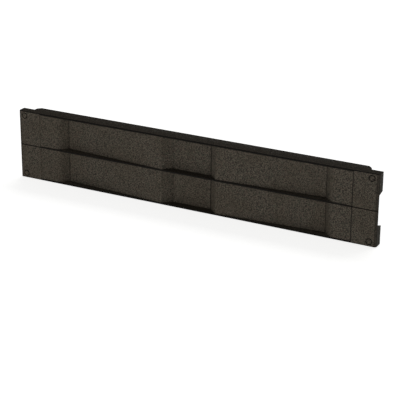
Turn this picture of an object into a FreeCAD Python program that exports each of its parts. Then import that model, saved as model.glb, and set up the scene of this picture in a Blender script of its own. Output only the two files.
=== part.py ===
"""Two-unit rack blanking panel: one injection-moulded plastic shell, snapped onto the rack rails.

X runs along the panel's width, Y from the front to the back, and Z up.
The frame's origin is the centre of the four snap pegs, on the plane of the rack rails.

The panel is alike left and right, and above and below its mid-height. One quarter is
drawn, with X and Z positive and the front plane at Y = 0. It is mirrored twice, and the
body's placement then puts the rail plane at Y = 0.
"""
import FreeCAD, Part
import os
import Sketcher

NODE = "blanking_panel"

# Sketcher's numbers for the points of a line or circle, and for the sketch's own axes.
START, END, CENTRE = 1, 2, 3
X_AXIS, Y_AXIS = -1, -2
ORIGIN = X_AXIS, START

# Two places nearer than this, in millimetres, are the same place.
SAME_PLACE = 0.001

# Driving dimensions in millimetres, each with what it sizes.
DIMENSIONS = [
    # rack standard
    ("panel_width", 482.6, "overall width of a 19-inch panel"),
    ("unit_height", 44.45, "height of one rack unit"),
    ("unit_count", 2.0, "rack units that the panel covers"),
    ("stacking_gap", 0.8, "height left free between stacked panels"),
    ("hole_from_end", 8.75, "line of the rail's square holes to the panel's end"),
    ("hole_from_opening", 7.15, "line of the rail's square holes to the rail's inner edge"),
    ("hole_from_unit_edge", 6.35, "first hole's centre above the unit's edge"),
    ("opening_clearance", 0.2, "gap from a return to the rail's inner edge"),
    ("rail_sheet", 2.0, "thickness of the rail that the pegs grip"),
    # shell
    ("wall", 2.0, "thickness of the face and of the end walls"),
    ("return_wall", 2.0, "thickness of the top and bottom returns"),
    ("ledge", 2.0, "thickness of the ledge between the two cells"),
    ("standoff", 12.0, "front plane to the rails"),
    ("reach", 9.5, "depth of the returns behind the rail plane"),
    ("return_chamfer", 4.5, "lead-in at the corners of the returns"),
    ("end_radius", 3.0, "outside radius down each end of the panel"),
    # wave of the recessed face, from the end of the panel to its middle
    ("land_width", 30.8, "flat land at the panel's end"),
    ("face_setback", 0.6, "highest parts of the wave behind the lands and the lips"),
    ("shoulder_width", 26.6, "flat shoulder beside the land"),
    ("shoulder_run", 9.75, "width of the steep flank below the shoulder"),
    ("shoulder_radius", 13.0, "radius over the shoulder"),
    ("trough_radius", 0.8, "radius in the trough under the shoulder"),
    ("recess_depth", 10.9, "depth of the trough and of the middle valley"),
    ("crest_run", 11.3, "width of the flank below the crest"),
    ("crest_radius", 2.4, "radius over the crest"),
    ("valley_half_width", 25.6, "middle of the panel to the foot of the flank"),
    ("valley_radius", 0.8, "radius at the foot of the flank"),
    # edges
    ("edge_radius", 0.5, "round along the outer edges of the top and bottom"),
    ("rim_radius", 0.3, "round along the rims of the cells"),
    # stiffening ribs behind the face
    ("rib_thickness", 1.2, "thickness of an upright rib"),
    ("rib_pitch", 44.0, "spacing of the upright ribs, as many as fit beside the lands"),
    ("rib_rise", 2.6, "least height of the ribs above the face's back"),
    # corner bosses, snap pegs and coring rings
    ("boss_radius", 5.75, "radius of the boss that carries a peg"),
    ("boss_setback", 0.3, "boss end short of the rail, so only the rim seats"),
    ("peg_width", 8.6, "peg across the width of the square hole"),
    ("peg_height", 7.6, "peg across the height of the square hole"),
    ("peg_barb", 0.75, "barb beyond the peg's side"),
    ("peg_rail_play", 0.2, "play between the rail and the barb"),
    ("peg_barb_land", 0.5, "straight part of the barb"),
    ("peg_nose", 2.2, "length of the tapered nose"),
    ("peg_nose_width", 6.4, "width of the nose at its tip"),
    ("peg_slot", 2.0, "width of the slot between the peg's two legs"),
    ("peg_leg_root", 4.0, "depth of the slot in front of the rail plane"),
    ("ring_radius", 4.0, "outside radius of the coring ring"),
    ("ring_width", 1.0, "width of the coring ring"),
    ("ring_depth", 2.4, "depth of the coring ring"),
    # finger notch and parting groove
    ("lug_height", 23.2, "height of an end lug at the rail plane"),
    ("lug_flare", 2.6, "extra height of the lug at its root"),
    ("groove_width", 1.2, "width of the groove across a land"),
    ("groove_depth", 1.1, "depth of the groove across a land"),
]


class Size:
    """A length known both as a number and as the text of a spreadsheet expression."""

    def __init__(self, text, value):
        self.text = text
        self.value = float(value)

    def combined(self, sign, other, value):
        other_text = other.text if isinstance(other, Size) else str(other)
        return Size("(%s %s %s)" % (self.text, sign, other_text), value)

    def __add__(self, other):
        return self.combined("+", other, self.value + number(other))

    def __sub__(self, other):
        return self.combined("-", other, self.value - number(other))

    def __mul__(self, other):
        return self.combined("*", other, self.value * number(other))

    def __truediv__(self, other):
        return self.combined("/", other, self.value / number(other))

    def whole(self):
        """The nearest whole number."""
        return Size("round(%s)" % self.text, round(self.value))


def number(size):
    """The plain number of a Size, or of a number."""
    return size.value if isinstance(size, Size) else float(size)


def vector(x, y):
    """The point x, y of a plan or a sketch."""
    return FreeCAD.Vector(number(x), number(y), 0)


def fill_sheet(doc):
    """Write the driving dimensions to a spreadsheet and return them by name."""
    sheet = doc.addObject("Spreadsheet::Sheet", "Sizes")
    sizes = {}
    for row, (alias, value, meaning) in enumerate(DIMENSIONS, start=1):
        sheet.set("A%d" % row, alias)
        sheet.set("B%d" % row, str(value))
        sheet.set("C%d" % row, meaning)
        sheet.setAlias("B%d" % row, alias)
        sizes[alias] = Size("Sizes.%s" % alias, value)
    doc.recompute()
    return sizes


# ---------------------------------------------------------------------------
# sketch helpers
# ---------------------------------------------------------------------------

def new_sketch(body, name, plane_role, offset=None):
    """A sketch on one of the body's origin planes, moved along the plane's normal."""
    sketch = body.newObject("Sketcher::SketchObject", name)
    planes = [item for item in body.Origin.OriginFeatures if item.Role == plane_role]
    sketch.AttachmentSupport = [(planes[0], "")]
    sketch.MapMode = "FlatFace"
    if offset is not None:
        sketch.setExpression(".AttachmentOffset.Base.z", offset.text)
    return sketch


def pin(sketch, geometry, point, x, y):
    """Hold a point of the sketch at x and y."""
    for kind, axis, size in (("DistanceX", Y_AXIS, x), ("DistanceY", X_AXIS, y)):
        if number(size) == 0:
            sketch.addConstraint(Sketcher.Constraint("PointOnObject", geometry, point, axis))
            continue
        index = sketch.addConstraint(
            Sketcher.Constraint(kind, *ORIGIN, geometry, point, number(size)))
        sketch.setExpression("Constraints[%d]" % index, size.text)


def polygon(sketch, corners):
    """A closed outline through the corners; returns the number of its first line.

    A corner given as two sizes is held there. One given as a plain point is left for
    other constraints to place.
    """
    count = len(corners)
    first = sketch.GeometryCount
    points = [corner if isinstance(corner, FreeCAD.Vector) else vector(*corner)
              for corner in corners]
    for index in range(count):
        line = Part.LineSegment(points[index], points[(index + 1) % count])
        sketch.addGeometry(line, False)
    for index in range(count):
        following = first + (index + 1) % count
        sketch.addConstraint(
            Sketcher.Constraint("Coincident", first + index, END, following, START))
    for index, corner in enumerate(corners):
        if not isinstance(corner, FreeCAD.Vector):
            pin(sketch, first + index, START, *corner)
    return first


def circle(sketch, x, y, radius):
    """A circle with its centre held and its radius bound."""
    index = sketch.addGeometry(
        Part.Circle(vector(x, y), FreeCAD.Vector(0, 0, 1), number(radius)), False)
    pin(sketch, index, CENTRE, x, y)
    constraint = sketch.addConstraint(Sketcher.Constraint("Radius", index, number(radius)))
    sketch.setExpression("Constraints[%d]" % constraint, radius.text)


# ---------------------------------------------------------------------------
# feature helpers
# ---------------------------------------------------------------------------

def pad(body, name, sketch, length, reverse=False):
    """Grow the sketch's outline into a solid."""
    feature = body.newObject("PartDesign::Pad", name)
    feature.Profile = sketch
    feature.Reversed = reverse
    feature.setExpression("Length", length.text)
    body.Document.recompute()
    return feature


def pocket(body, name, sketch, length, reverse=False):
    """Cut the sketch's outline away, and make sure that it removed material."""
    before = body.Shape.Volume
    feature = body.newObject("PartDesign::Pocket", name)
    feature.Profile = sketch
    feature.Reversed = reverse
    feature.setExpression("Length", length.text)
    body.Document.recompute()
    if body.Shape.Volume >= before:
        raise RuntimeError("pocket %s removes nothing" % name)


def upright_edge(shape, place):
    """The edge along Z that is nearest to a place in plan, as a list of its one name."""
    best_name = None
    best_distance = None
    for index, edge in enumerate(shape.Edges, start=1):
        start = edge.Vertexes[0].Point
        end = edge.Vertexes[-1].Point
        if abs(start.x - end.x) > SAME_PLACE or abs(start.y - end.y) > SAME_PLACE:
            continue
        distance = FreeCAD.Vector(start.x - place.x, start.y - place.y, 0).Length
        if best_distance is None or distance < best_distance:
            best_name = "Edge%d" % index
            best_distance = distance
    return [best_name]


def edges_where(shape, belongs):
    """Names of the edges whose points, at both ends, all belong."""
    names = []
    for index, edge in enumerate(shape.Edges, start=1):
        if all(belongs(vertex.Point) for vertex in edge.Vertexes):
            names.append("Edge%d" % index)
    return names


def same(first, second):
    """Whether two sizes or places are the same."""
    return abs(number(first) - number(second)) < SAME_PLACE


def fillet(body, name, edges, radius):
    """Round the named edges of the body's last shape with a bound radius."""
    base = body.Tip
    feature = body.newObject("PartDesign::Fillet", name)
    feature.Base = (base, edges)
    feature.setExpression("Radius", radius.text)
    body.Document.recompute()


def round_corner(body, name, place, radius):
    """Round the upright edge at a place in plan."""
    fillet(body, name, upright_edge(body.Tip.Shape, place), radius)


# ---------------------------------------------------------------------------
# the wave of the face
# ---------------------------------------------------------------------------

def wave_corners(size, zero):
    """Corners of the wave in plan, from the middle of the panel to the land."""
    land = size["panel_width"] / 2 - size["land_width"]
    shoulder = land - size["shoulder_width"]
    trough = shoulder - size["shoulder_run"]
    crest = size["valley_half_width"] + size["crest_run"]
    return [
        (zero, size["recess_depth"]),
        (size["valley_half_width"], size["recess_depth"]),
        (crest, size["face_setback"]),
        (trough, size["recess_depth"]),
        (shoulder, size["face_setback"]),
        (land, size["face_setback"]),
    ]


def land_back(size):
    """Depth of the back of the land and of the shoulder."""
    return size["face_setback"] + size["wall"]


def offset_corner(before, corner, after, distance):
    """Where the corner lands when both its lines move back by a distance."""
    first = (corner - before).normalize()
    second = (after - corner).normalize()
    normal_sum = FreeCAD.Vector(-first.y - second.y, first.x + second.x, 0)
    return corner + normal_sum * (distance / (1 + first.dot(second)))


def back_corners(wave, wall):
    """Where the wave's inner corners lie on the back of the face."""
    points = [vector(*corner) for corner in wave]
    return [
        offset_corner(points[index - 1], points[index], points[index + 1], number(wall))
        for index in range(1, len(points) - 1)
    ]


def corner_rounds(size):
    """Name, front radius and back radius of the wave's corners, from the middle outwards."""
    wall = size["wall"]
    return [
        ("Valley", size["valley_radius"], size["valley_radius"] + wall),
        ("Crest", size["crest_radius"], size["crest_radius"] - wall),
        ("Trough", size["trough_radius"], size["trough_radius"] + wall),
        ("Shoulder", size["shoulder_radius"], size["shoulder_radius"] - wall),
    ]


def face_block(body, size, zero, wave, half_height):
    """Everything between the front plane and the back of the face, with the end wall."""
    sketch = new_sketch(body, "FaceBlockSketch", "XY_Plane")
    wall = size["wall"]
    half_width = size["panel_width"] / 2
    inside = half_width - wall

    # the wave is drawn as construction lines, for the back of the face to follow
    for start, end in zip(wave[:-1], wave[1:]):
        line = sketch.addGeometry(Part.LineSegment(vector(*start), vector(*end)), True)
        pin(sketch, line, START, *start)
        pin(sketch, line, END, *end)

    end_wall = [(zero, zero), (half_width, zero), (half_width, size["standoff"]),
                (inside, size["standoff"]), (inside, land_back(size))]
    back = back_corners(wave, wall)
    middle = (zero, size["recess_depth"] + wall)
    first = polygon(sketch, end_wall + back[::-1] + [middle])

    # behind the shoulder and behind the valley the back is flat; between them each
    # line of the back lies one wall behind its line of the wave
    shoulder_line = first + len(end_wall) - 1
    valley_line = shoulder_line + len(back)
    sketch.addConstraint(Sketcher.Constraint("Horizontal", shoulder_line))
    sketch.addConstraint(Sketcher.Constraint("Horizontal", valley_line))
    for line, front_line in zip(range(shoulder_line + 1, valley_line),
                                range(len(back) - 1, 0, -1)):
        sketch.addConstraint(Sketcher.Constraint("Parallel", line, front_line))
        index = sketch.addConstraint(
            Sketcher.Constraint("Distance", line, START, front_line, wall.value))
        sketch.setExpression("Constraints[%d]" % index, wall.text)
    pad(body, "FaceBlock", sketch, half_height)

    for (name, _, back_radius), corner in zip(corner_rounds(size), back):
        round_corner(body, name + "Back", corner, back_radius)
    round_corner(body, "EndOutside", vector(half_width, zero), size["end_radius"])
    round_corner(body, "EndInside", vector(inside, land_back(size)),
                 size["end_radius"] - wall)


def top_return(body, size, zero, half_height):
    """The top plate, deeper where it goes between the rails, with a lead-in chamfer."""
    half_width = size["panel_width"] / 2
    edge = (half_width - size["hole_from_end"] - size["hole_from_opening"]
            - size["opening_clearance"])
    back = size["standoff"] + size["reach"]
    chamfer = size["return_chamfer"]
    sketch = new_sketch(body, "ReturnSketch", "XY_Plane", half_height - size["return_wall"])
    polygon(sketch, [
        (zero, zero), (half_width - size["end_radius"], zero),
        (half_width, size["end_radius"]), (half_width, size["standoff"]),
        (edge, size["standoff"]), (edge, back - chamfer), (edge - chamfer, back),
        (zero, back)])
    pad(body, "Return", sketch, size["return_wall"])


def ribs(body, size, zero, half_height):
    """Upright ribs behind the face, and the ledge's own rib along mid-height."""
    rib_line = size["recess_depth"] + size["wall"] + size["rib_rise"]
    land = size["panel_width"] / 2 - size["land_width"]

    sketch = new_sketch(body, "LedgeSketch", "XY_Plane")
    polygon(sketch, [(zero, zero), (land, zero), (land, rib_line), (zero, rib_line)])
    pad(body, "Ledge", sketch, size["ledge"] / 2)

    left = size["rib_pitch"] / 2 - size["rib_thickness"] / 2
    right = size["rib_pitch"] / 2 + size["rib_thickness"] / 2
    sketch = new_sketch(body, "RibSketch", "XY_Plane")
    polygon(sketch, [(left, zero), (right, zero), (right, rib_line), (left, rib_line)])
    rib = pad(body, "Rib", sketch, half_height)

    pattern = body.newObject("PartDesign::LinearPattern", "RibPattern")
    pattern.Originals = [rib]
    axes = [item for item in body.Origin.OriginFeatures if item.Role == "X_Axis"]
    pattern.Direction = (axes[0], [""])
    count = (land / size["rib_pitch"]).whole()
    pattern.setExpression("Length", (size["rib_pitch"] * (count - 1)).text)
    pattern.setExpression("Occurrences", count.text)
    body.Tip = pattern
    body.Document.recompute()


def recess(body, size, zero, wave, half_height):
    """Hollow the cell out of the front, down to the wave, between ledge and return."""
    land = size["panel_width"] / 2 - size["land_width"]
    low = size["ledge"] / 2
    high = half_height - size["return_wall"]
    sketch = new_sketch(body, "RecessSketch", "XY_Plane", low)
    polygon(sketch, [(zero, zero)] + wave + [(land, zero)])
    pocket(body, "Recess", sketch, high - low, reverse=True)
    for (name, front_radius, _), corner in zip(corner_rounds(size), wave[1:]):
        round_corner(body, name + "Front", vector(*corner), front_radius)

    rim = edges_where(body.Tip.Shape, lambda point: (
        same(point.y, 0) and point.x < number(land) + SAME_PLACE
        and number(low) - SAME_PLACE < point.z < number(high) + SAME_PLACE))
    fillet(body, "CellRim", rim, size["rim_radius"])


def corner_boss(body, size):
    """Boss, snap peg and coring ring at the rail's outer square hole."""
    hole_x = size["panel_width"] / 2 - size["hole_from_end"]
    unit_edge = size["unit_height"] * size["unit_count"] / 2
    hole_z = unit_edge - size["hole_from_unit_edge"]

    root = size["standoff"] - size["boss_setback"]
    sketch = new_sketch(body, "BossSketch", "XZ_Plane")
    circle(sketch, hole_x, hole_z, size["boss_radius"])
    pad(body, "Boss", sketch, root, reverse=True)

    barb = size["standoff"] + size["rail_sheet"] + size["peg_rail_play"]
    barb_end = barb + size["peg_barb_land"]
    tip = barb_end + size["peg_nose"]
    neck = size["peg_width"] / 2
    barb_side = neck + size["peg_barb"]
    nose = size["peg_nose_width"] / 2
    sketch = new_sketch(body, "PegSketch", "XY_Plane", hole_z - size["peg_height"] / 2)
    polygon(sketch, [
        (hole_x - neck, root), (hole_x + neck, root), (hole_x + neck, barb),
        (hole_x + barb_side, barb), (hole_x + barb_side, barb_end),
        (hole_x + nose, tip), (hole_x - nose, tip),
        (hole_x - barb_side, barb_end), (hole_x - barb_side, barb),
        (hole_x - neck, barb)])
    pad(body, "Peg", sketch, size["peg_height"])

    slot = size["peg_slot"] / 2
    slot_root = size["standoff"] - size["peg_leg_root"]
    sketch = new_sketch(body, "PegSlotSketch", "XY_Plane", hole_z - size["peg_height"] / 2)
    polygon(sketch, [(hole_x - slot, slot_root), (hole_x + slot, slot_root),
                     (hole_x + slot, tip), (hole_x - slot, tip)])
    pocket(body, "PegSlot", sketch, size["peg_height"], reverse=True)

    sketch = new_sketch(body, "RingSketch", "XZ_Plane")
    circle(sketch, hole_x, hole_z, size["ring_radius"])
    circle(sketch, hole_x, hole_z, size["ring_radius"] - size["ring_width"])
    pocket(body, "Ring", sketch, size["ring_depth"])


def finger_notch(body, size, zero, half_height):
    """Gap in the end wall between the two lugs, back from the face."""
    half_width = size["panel_width"] / 2
    lug_edge = half_height - size["lug_height"]
    lug_root = lug_edge - size["lug_flare"]
    sketch = new_sketch(body, "NotchSketch", "YZ_Plane", half_width)
    polygon(sketch, [
        (land_back(size), zero), (size["standoff"], zero),
        (size["standoff"], lug_edge), (land_back(size), lug_root)])
    pocket(body, "Notch", sketch, size["end_radius"])


def land_groove(body, size, zero):
    """Fine groove across the land, in line with the ledge."""
    half_width = size["panel_width"] / 2
    depth = size["groove_depth"]
    edge = size["groove_width"] / 2
    sketch = new_sketch(body, "GrooveSketch", "YZ_Plane", half_width)
    polygon(sketch, [(zero, zero), (depth, zero), (depth, edge), (zero, edge)])
    pocket(body, "Groove", sketch, size["land_width"])


def outer_edges(body, size, half_height):
    """Small round along the outer edge of the top, from the middle round to the back."""
    edges = edges_where(body.Tip.Shape, lambda point: same(point.z, half_height))
    middle = edges_where(body.Tip.Shape, lambda point: same(point.x, 0))
    fillet(body, "TopEdge", [name for name in edges if name not in middle],
           size["edge_radius"])


def mirror(body, name, plane_role):
    """Mirror everything made so far across one of the origin planes."""
    feature = body.newObject("PartDesign::Mirrored", name)
    feature.TransformMode = "Whole shape"
    planes = [item for item in body.Origin.OriginFeatures if item.Role == plane_role]
    feature.MirrorPlane = (planes[0], [""])
    body.Tip = feature
    body.Document.recompute()


def build_panel(doc, size):
    """The whole panel as one body."""
    zero = Size("0", 0)
    half_height = (size["unit_height"] * size["unit_count"] - size["stacking_gap"]) / 2
    wave = wave_corners(size, zero)

    body = doc.addObject("PartDesign::Body", "Panel")
    body.Label = NODE
    face_block(body, size, zero, wave, half_height)
    top_return(body, size, zero, half_height)
    ribs(body, size, zero, half_height)
    recess(body, size, zero, wave, half_height)
    corner_boss(body, size)
    finger_notch(body, size, zero, half_height)
    land_groove(body, size, zero)
    outer_edges(body, size, half_height)
    mirror(body, "UpperAndLower", "XY_Plane")
    mirror(body, "LeftAndRight", "YZ_Plane")
    body.setExpression(".Placement.Base.y", "0 - Sizes.standoff")
    return body


def check_document(doc):
    """Stop if any object failed, or if a body has no sound shape."""
    for item in doc.Objects:
        if "Invalid" in item.State or "Error" in item.State:
            raise RuntimeError("%s failed to compute" % item.Name)
    for item in doc.findObjects("PartDesign::Body"):
        if item.Shape.isNull() or not item.Shape.isValid():
            raise RuntimeError("%s has no sound shape" % item.Label)


def main():
    """Build the panel, check it and write its STEP file."""
    doc = FreeCAD.newDocument("BlankingPanel")
    size = fill_sheet(doc)
    body = build_panel(doc, size)
    doc.recompute()
    check_document(doc)
    os.makedirs("parts", exist_ok=True)
    body.Shape.exportStep("parts/%s.step" % NODE)
    box = body.Shape.optimalBoundingBox(True, False)
    print("%s: %d solid, %.0f cubic mm, %.1f x %.1f x %.1f mm" % (
        NODE, len(body.Shape.Solids), body.Shape.Volume,
        box.XLength, box.YLength, box.ZLength))


main()
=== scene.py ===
import math

import bmesh
import bpy
from mathutils import Matrix, Vector
from mathutils.bvhtree import BVHTree
from mathutils.kdtree import KDTree


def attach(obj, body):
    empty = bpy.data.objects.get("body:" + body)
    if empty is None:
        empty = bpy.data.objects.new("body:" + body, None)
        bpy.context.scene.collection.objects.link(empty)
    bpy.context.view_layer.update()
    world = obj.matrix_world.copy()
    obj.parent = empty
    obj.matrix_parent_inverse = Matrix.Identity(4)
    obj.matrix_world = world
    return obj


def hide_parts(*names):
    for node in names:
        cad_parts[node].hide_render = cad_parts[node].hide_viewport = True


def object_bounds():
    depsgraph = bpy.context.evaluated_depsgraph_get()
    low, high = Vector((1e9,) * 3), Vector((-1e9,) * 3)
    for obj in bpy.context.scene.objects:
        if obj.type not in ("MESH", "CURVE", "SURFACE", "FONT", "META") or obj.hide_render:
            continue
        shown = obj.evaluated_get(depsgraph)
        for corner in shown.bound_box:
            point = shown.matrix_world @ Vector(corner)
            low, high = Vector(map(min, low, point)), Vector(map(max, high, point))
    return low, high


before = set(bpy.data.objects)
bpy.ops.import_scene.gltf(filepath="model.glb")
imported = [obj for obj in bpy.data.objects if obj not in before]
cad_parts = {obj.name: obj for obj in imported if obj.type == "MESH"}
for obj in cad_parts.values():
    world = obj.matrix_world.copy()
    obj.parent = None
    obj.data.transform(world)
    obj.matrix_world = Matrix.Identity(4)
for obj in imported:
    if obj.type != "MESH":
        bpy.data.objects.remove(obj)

cad_low, cad_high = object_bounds()

MM = 0.001
PANEL = "blanking_panel"

# Camera: where it stands, how it is turned, and its lens on a 36 mm sensor.
CAMERA_PLACE = Vector((0.7520, -1.4013, 0.5860))
CAMERA_YAW = math.radians(27.893)
CAMERA_PITCH = math.radians(21.346)
CAMERA_ROLL = math.radians(0.345)
CAMERA_LENS = 127.36
SENSOR_WIDTH = 36.0

# The moulding's edges, and the angle from which an edge is one.
EDGE_RADIUS = 0.22 * MM
EDGE_ANGLE = math.radians(28)
FLAT_ANGLE = math.radians(0.3)
SAME_PLACE = 0.001 * MM
# Rounds that cross are tried again with the edges this near to the crossing left sharp.
CROSSING_REACH = 0.7 * MM
ROUND_TRIES = 8
NOISE_TURN = (0.6, 0.4, 0.9)

# Grain of the moulding: how wide its patches are, and their colours as screen levels.
GRAIN = 0.95 * MM
SPECK = 1.9 * MM
TINT = 2.6 * MM
CLOUD = 38 * MM
FINE = 0.22 * MM
SPECK_SHARE = 0.28
GRAIN_LOW = (28, 26, 23)
GRAIN_HIGH = (79, 73, 64)
WARM_TINT = (66, 54, 47)
COOL_TINT = (44, 50, 40)
CLOUD_TINT = (52, 45, 35)
TINT_SHARE = 0.35
CLOUD_SHARE = 0.25
PAINTED_SHADE_AND_LINE_COLOUR = (14, 12, 10)

# Places along the panel, from its middle, worked out from the frame.
LAND_EDGE = cad_high.x - 30.8 * MM
TROUGH_CREASE = LAND_EDGE - 36.35 * MM
VALLEY_CREASE = 25.6 * MM
END_ROUND = cad_high.x - 3.0 * MM
END_WALL = cad_high.x - 0.3 * MM
CELL_TOP = cad_high.z - 2.0 * MM
OUTER_ROUND = 0.5 * MM

# Depths: the top of the wave, the start of the creases' painted shade, and the depths
# behind which a painted mark of the front would show on the back of the wall instead.
WAVE_TOP = cad_low.y + 0.58 * MM
WAVE_FOOT = cad_low.y + 9.6 * MM
LAND_SKIN = cad_low.y + 1.3 * MM
FLOOR_SKIN = cad_low.y + 11.2 * MM
SKIN_FADE = 0.3 * MM

# The coring rings: their centres from the panel's middle, and the middle of the groove.
RING_ACROSS = cad_high.x - 8.75 * MM
RING_HEIGHT = cad_high.z - 5.95 * MM
RING_RADIUS = 3.5 * MM
RING_FLOOR = cad_low.y + 2.5 * MM

# How strong each dark mark is, from 0 to 1. These are colour, not shape: painted shade
# on the end walls, the lips, the groove, the rings and the creases, a painted shadow beside
# the land's edge, and dark lines along the outer edges, the end's round, the lugs' rims and
# the back edges. The line at the land's edge is on the right only, and the creases' painted
# shade differs from side to side.
END_SHADE = 0.6
LIP_PAINTED_SHADE = 0.95
END_MARK = 0.6
LAND_EDGE_PAINTED_SHADOW = 0.75
GROOVE_PAINTED_SHADE = 0.8
RING_PAINTED_SHADE = 0.75
LUG_MARK = 0.7
BACK_MARK = 0.6
CREASE_PAINTED_SHADE = [
    (-TROUGH_CREASE, 0.50),
    (-VALLEY_CREASE, 0.20),
    (VALLEY_CREASE, 0.95),
    (TROUGH_CREASE, 0.65),
]

# The studio: how much the floor and the world shine, and each lamp's place, size and power.
FLOOR_SIZE = 80
FLOOR_GLOW = 0.90
WORLD_GLOW = 0.13
LAMPS = [
    ("front_softbox", (0.05, -2.2, 0.25), (1.6, 0.5), 23.4),
    ("back_softbox", (0.0, 1.1, 1.6), (2.0, 0.8), 11),
    ("rear_fill", (0.0, 2.0, 0.0), (2.4, 0.06), 30),
]


# ---------------------------------------------------------------------------
# shader maths
# ---------------------------------------------------------------------------

class Value:
    """A shader socket whose number varies over the surface; arithmetic adds Math nodes."""

    def __init__(self, finish, socket):
        self.finish = finish
        self.socket = socket

    def math(self, operation, *values):
        settings = {"operation": operation}
        return self.finish.add("ShaderNodeMath", settings, dict(enumerate(values)))

    def __add__(self, other):
        return self.math("ADD", self, other)

    def __radd__(self, other):
        return self.math("ADD", other, self)

    def __sub__(self, other):
        return self.math("SUBTRACT", self, other)

    def __rsub__(self, other):
        return self.math("SUBTRACT", other, self)

    def __mul__(self, other):
        return self.math("MULTIPLY", self, other)

    def size(self):
        """The distance from zero, whichever the side."""
        return self.math("ABSOLUTE", self)

    def root(self):
        return self.math("SQRT", self)

    def step(self, low, high):
        """0 below low, 1 above high, and a smooth rise between them."""
        settings = {"interpolation_type": "SMOOTHSTEP"}
        return self.finish.add("ShaderNodeMapRange", settings,
                               {"Value": self, "From Min": low, "From Max": high})


class Finish:
    """A material with one Principled shader, and the nodes that feed it."""

    def __init__(self, name):
        self.material = bpy.data.materials.new(name)
        self.material.use_nodes = True
        self.tree = self.material.node_tree
        self.shader = self.tree.nodes["Principled BSDF"]
        self.place = self.add("ShaderNodeTexCoord", output="Object")
        # noise fades out on planes square to its axes, so its axes are turned
        self.turned = self.add("ShaderNodeMapping", None,
                               {"Vector": self.place, "Rotation": NOISE_TURN})

    def add(self, kind, settings=None, inputs=None, output=0):
        """A node of one kind: its settings, then the values or links of its sockets."""
        node = self.tree.nodes.new(kind)
        for name, setting in (settings or {}).items():
            setattr(node, name, setting)
        for name, value in (inputs or {}).items():
            self.feed(node.inputs[name], value)
        return Value(self, node.outputs[output])

    def feed(self, socket, value):
        if isinstance(value, Value):
            self.tree.links.new(value.socket, socket)
        else:
            socket.default_value = value

    def set(self, **values):
        """Feed the shader's own sockets, named with underscores for spaces."""
        for name, value in values.items():
            self.feed(self.shader.inputs[name.replace("_", " ")], value)

    def axis(self, index):
        """One of the object's own coordinates."""
        return self.add("ShaderNodeSeparateXYZ", None, {"Vector": self.place}, output=index)

    def noise(self, size, detail=2.0, roughness=0.5):
        """Soft noise from 0 to 1, whose patches are about one size across."""
        inputs = {"Vector": self.turned, "Scale": 1 / size, "Detail": detail,
                  "Roughness": roughness}
        return self.add("ShaderNodeTexNoise", None, inputs)

    def blend(self, amount, first, second):
        """The first colour where amount is 0, the second where it is 1."""
        settings = {"data_type": "RGBA", "clamp_factor": True}
        inputs = {"Factor": amount, 6: first, 7: second}
        return self.add("ShaderNodeMix", settings, inputs, output=2)

    def relief(self, height, distance, strength, under=None):
        """Bumps of a height, on top of the bumps under them."""
        inputs = {"Height": height, "Distance": distance, "Strength": strength}
        if under is not None:
            inputs["Normal"] = under
        return self.add("ShaderNodeBump", None, inputs)


def colour(red, green, blue):
    """A shader colour from its screen levels, 0 to 255."""
    def linear(level):
        share = level / 255
        return share / 12.92 if share <= 0.04045 else ((share + 0.055) / 1.055) ** 2.4
    return (linear(red), linear(green), linear(blue), 1.0)


# ---------------------------------------------------------------------------
# finishes
# ---------------------------------------------------------------------------

def near(value, place, half_width, soft):
    """1 where the value is within a half width of a place, fading over a soft margin."""
    return 1.0 - (value - place).size().step(half_width, half_width + soft)


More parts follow.
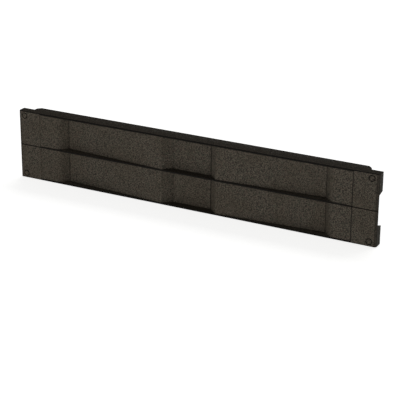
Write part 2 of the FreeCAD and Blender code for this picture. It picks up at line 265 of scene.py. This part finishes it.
def moulded_plastic():
    """Warm dark grey plastic: a speckled matte grain, with painted shade on the lips, end walls,
    groove, rings and creases, a painted shadow beside the land's edge, and dark lines along the
    edges.
    """
    finish = Finish("moulded_plastic")
    side, depth, level = (finish.axis(index) for index in range(3))
    across = side.size()
    height = level.size()

    # moulded grain
    grain = finish.noise(GRAIN, detail=2.5, roughness=0.65)
    speck = finish.noise(SPECK, detail=2.0, roughness=0.6)
    tint = finish.noise(TINT, detail=1.0)
    cloud = finish.noise(CLOUD, detail=2.0)
    shade = grain * (1 - SPECK_SHARE) + speck * SPECK_SHARE
    grained = finish.blend(shade.step(0.39, 0.62), colour(*GRAIN_LOW), colour(*GRAIN_HIGH))
    grained = finish.blend(tint.step(0.56, 0.70) * TINT_SHARE, grained, colour(*WARM_TINT))
    grained = finish.blend(tint.step(0.44, 0.30) * TINT_SHARE, grained, colour(*COOL_TINT))
    grained = finish.blend(cloud.step(0.35, 0.70) * CLOUD_SHARE, grained,
                           colour(*CLOUD_TINT))

    # where each painted shade and dark line may show
    front = 1.0 - depth.step(WAVE_TOP - 0.08 * MM, WAVE_TOP)
    near_front = 1.0 - depth.step(WAVE_TOP + 0.2 * MM, WAVE_TOP + 0.5 * MM)
    land = across.step(LAND_EDGE - 0.1 * MM, LAND_EDGE)
    land_front = 1.0 - depth.step(LAND_SKIN, LAND_SKIN + SKIN_FADE)
    end_wall = across.step(END_ROUND, END_WALL)
    lug_rim = depth.step(-1.2 * MM, -0.5 * MM)
    back_edge = depth.step(cad_high.y - 1.3 * MM, cad_high.y - 0.5 * MM)
    outer_edge = height.step(cad_high.z - 2.2 * OUTER_ROUND, cad_high.z - OUTER_ROUND)
    crease = (depth.step(WAVE_FOOT, WAVE_FOOT + 1.2 * MM)
              * (1.0 - depth.step(FLOOR_SKIN, FLOOR_SKIN + SKIN_FADE))
              * (1.0 - height.step(CELL_TOP, CELL_TOP + SKIN_FADE)))
    ring_x, ring_z = across - RING_ACROSS, height - RING_HEIGHT
    from_ring = (ring_x * ring_x + ring_z * ring_z).root()
    ring_skin = 1.0 - depth.step(RING_FLOOR, RING_FLOOR + 0.1 * MM)

    # the dark line of the end, the painted shadow beside the land's edge, and the painted shade
    # in the groove and the rings
    end_line = near(across, END_ROUND + 0.7 * MM, 0.35 * MM, 0.5 * MM)
    land_line = near(side, LAND_EDGE - 0.5 * MM, 0.5 * MM, 0.5 * MM)
    groove_line = near(height, 0.0, 0.6 * MM, 0.2 * MM)
    ring_line = near(from_ring, RING_RADIUS, 0.5 * MM, 0.1 * MM)
    # the painted shade and the dark lines, each with its strength
    painted_shade_and_lines = [
        # painted shade on the lips
        (front * (1.0 - land)) * LIP_PAINTED_SHADE,
        near_front * outer_edge,
        end_line * land_front * END_MARK,
        # painted shadow beside the land's step, on the right only
        land_line * land_front * LAND_EDGE_PAINTED_SHADOW,
        # painted shade in the groove across the lands
        groove_line * land * land_front * GROOVE_PAINTED_SHADE,
        # painted shade in the coring rings
        ring_line * ring_skin * RING_PAINTED_SHADE,
        lug_rim * end_wall * LUG_MARK,
        back_edge * BACK_MARK,
    ]
    # painted shade in the creases, of a strength that differs from side to side
    for place, strength in CREASE_PAINTED_SHADE:
        painted_shade_and_lines.append(crease * near(side, place, 0.4 * MM, 0.6 * MM) * strength)

    # painted shade: the end walls darkened towards the grain's dark colour
    shaded = finish.blend(end_wall * END_SHADE, grained, colour(*GRAIN_LOW))
    # blend in the painted shade and the dark lines
    for mark in painted_shade_and_lines:
        shaded = finish.blend(mark, shaded, colour(*PAINTED_SHADE_AND_LINE_COLOUR))

    finish.set(Base_Color=shaded, Roughness=0.58 + grain * 0.20, Specular_IOR_Level=0.04)
    fine = finish.noise(FINE, detail=2.0, roughness=0.7)
    coarse = finish.relief(shade, 0.10 * MM, 0.7)
    finish.set(Normal=finish.relief(fine, 0.03 * MM, 0.6, coarse))
    return finish.material


def pale_floor():
    """Near-white matte floor that glows a little, so that it stays plain and pale."""
    finish = Finish("pale_floor")
    cloud = finish.noise(0.4, detail=1.0)
    pale = finish.blend(cloud, (0.84, 0.84, 0.83, 1), (0.87, 0.87, 0.87, 1))
    finish.set(Base_Color=pale, Roughness=0.85, Emission_Color=pale, Emission_Strength=FLOOR_GLOW)
    return finish.material


# ---------------------------------------------------------------------------
# modelling
# ---------------------------------------------------------------------------

def deselect_all():
    bpy.ops.object.select_all(action="DESELECT")


def work_on(piece):
    """Make a piece the only one selected, and the active one."""
    deselect_all()
    piece.select_set(True)
    bpy.context.view_layer.objects.active = piece


def apply_modifier(piece, kind, **settings):
    work_on(piece)
    modifier = piece.modifiers.new(kind.lower(), kind)
    for name, setting in settings.items():
        setattr(modifier, name, setting)
    bpy.ops.object.modifier_apply(modifier=modifier.name)


def weigh_sharp_edges(mesh):
    """Give full bevel weight to each sharp edge with room beside it for a round."""
    normals = {}
    for face in mesh.polygons:
        for key in face.edge_keys:
            normals.setdefault(key, []).append(face.normal)
    shortest = {}
    for key in normals:
        start, end = (mesh.vertices[index].co for index in key)
        for index in key:
            shortest[index] = min((start - end).length, shortest.get(index, 1.0))
    weights = mesh.attributes.new("bevel_weight_edge", "FLOAT", "EDGE")
    for edge in mesh.edges:
        first, second = normals[edge.key]
        room = min(shortest[index] for index in edge.key)
        if first.angle(second) > EDGE_ANGLE and room > 3 * EDGE_RADIUS:
            weights.data[edge.index].value = 1.0


def crossings(mesh):
    """Corners of the faces that pass through each other."""
    shape = bmesh.new()
    shape.from_mesh(mesh)
    bmesh.ops.triangulate(shape, faces=shape.faces)
    shape.faces.ensure_lookup_table()
    tree = BVHTree.FromBMesh(shape)
    places = []
    for pair in tree.overlap(tree):
        first, second = (shape.faces[index] for index in pair)
        if pair[0] < pair[1] and not set(first.verts) & set(second.verts):
            smaller = min(first, second, key=lambda face: face.calc_area())
            places += [corner.co.copy() for corner in smaller.verts]
    shape.free()
    return places


def leave_sharp(mesh, places):
    """Take the bevel weight off the edges that pass near any of the places."""
    tree = KDTree(len(places))
    for index, place in enumerate(places):
        tree.insert(place, index)
    tree.balance()
    weights = mesh.attributes["bevel_weight_edge"].data
    for edge in mesh.edges:
        if weights[edge.index].value == 0:
            continue
        start, end = (mesh.vertices[index].co for index in edge.vertices)
        steps = max(1, math.ceil((end - start).length / CROSSING_REACH))
        for step in range(steps + 1):
            if tree.find(start.lerp(end, step / steps))[2] < CROSSING_REACH:
                weights[edge.index].value = 0
                break


def round_edges(piece):
    """Bevel the weighted edges, as many as can be rounded without faces that cross."""
    sharp = piece.data
    for _ in range(ROUND_TRIES):
        piece.data = sharp.copy()
        apply_modifier(piece, "BEVEL", width=EDGE_RADIUS, segments=2,
                       limit_method="WEIGHT", use_clamp_overlap=False)
        places = crossings(piece.data)
        if not places:
            bpy.data.meshes.remove(sharp)
            return
        crossed = piece.data
        piece.data = sharp
        bpy.data.meshes.remove(crossed)
        leave_sharp(sharp, places)
    raise RuntimeError("the rounds of %s still cross" % piece.name)


def make_panel():
    """The moulded shell, with the small radius that every edge of a moulding has."""
    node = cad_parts[PANEL]
    shell = bpy.data.objects.new("moulded_shell", node.data.copy())
    bpy.context.scene.collection.objects.link(shell)
    shell.data.materials.clear()
    shell.data.materials.append(moulded_plastic())
    work_on(shell)
    bpy.ops.mesh.customdata_custom_splitnormals_clear()
    bpy.ops.object.mode_set(mode="EDIT")
    bpy.ops.mesh.select_all(action="SELECT")
    bpy.ops.mesh.remove_doubles(threshold=SAME_PLACE)
    bpy.ops.mesh.dissolve_limited(angle_limit=FLAT_ANGLE)
    bpy.ops.object.mode_set(mode="OBJECT")
    weigh_sharp_edges(shell.data)
    round_edges(shell)
    bpy.ops.object.shade_smooth_by_angle(angle=EDGE_ANGLE)
    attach(shell, "root")
    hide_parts(PANEL)


# ---------------------------------------------------------------------------
# studio
# ---------------------------------------------------------------------------

def make_floor():
    deselect_all()
    bpy.ops.mesh.primitive_plane_add(size=FLOOR_SIZE, location=(0, 0, cad_low.z))
    floor = bpy.context.object
    floor.name = "floor"
    floor.data.materials.append(pale_floor())


def soft_light(name, place, size, power):
    """A rectangular studio lamp, turned to shine at the panel's middle."""
    lamp = bpy.data.lights.new(name, "AREA")
    lamp.shape = "RECTANGLE"
    lamp.size, lamp.size_y = size
    lamp.energy = power
    holder = bpy.data.objects.new(name, lamp)
    bpy.context.scene.collection.objects.link(holder)
    holder.location = place
    holder.rotation_euler = (-Vector(place)).to_track_quat("-Z", "Y").to_euler()


def make_lights():
    world = bpy.data.worlds.new("studio")
    world.use_nodes = True
    background = world.node_tree.nodes["Background"]
    background.inputs["Color"].default_value = (1.0, 1.0, 1.0, 1.0)
    background.inputs["Strength"].default_value = WORLD_GLOW
    bpy.context.scene.world = world
    bpy.context.scene.view_settings.view_transform = "Standard"
    for lamp in LAMPS:
        soft_light(*lamp)


def make_camera():
    """The camera's axes follow from its yaw to the right, its pitch down and its roll."""
    forward = Vector((-math.sin(CAMERA_YAW) * math.cos(CAMERA_PITCH),
                      math.cos(CAMERA_YAW) * math.cos(CAMERA_PITCH),
                      -math.sin(CAMERA_PITCH)))
    level = Vector((math.cos(CAMERA_YAW), math.sin(CAMERA_YAW), 0))
    down = forward.cross(level)
    right = math.cos(CAMERA_ROLL) * level - math.sin(CAMERA_ROLL) * down
    up = -(math.sin(CAMERA_ROLL) * level + math.cos(CAMERA_ROLL) * down)
    turn = Matrix((right, up, -forward)).transposed()
    data = bpy.data.cameras.new("camera")
    data.lens = CAMERA_LENS
    data.sensor_width = SENSOR_WIDTH
    camera = bpy.data.objects.new("camera", data)
    bpy.context.scene.collection.objects.link(camera)
    camera.matrix_world = Matrix.Translation(CAMERA_PLACE) @ turn.to_4x4()
    bpy.context.scene.camera = camera


make_camera()
make_floor()
make_lights()
make_panel()
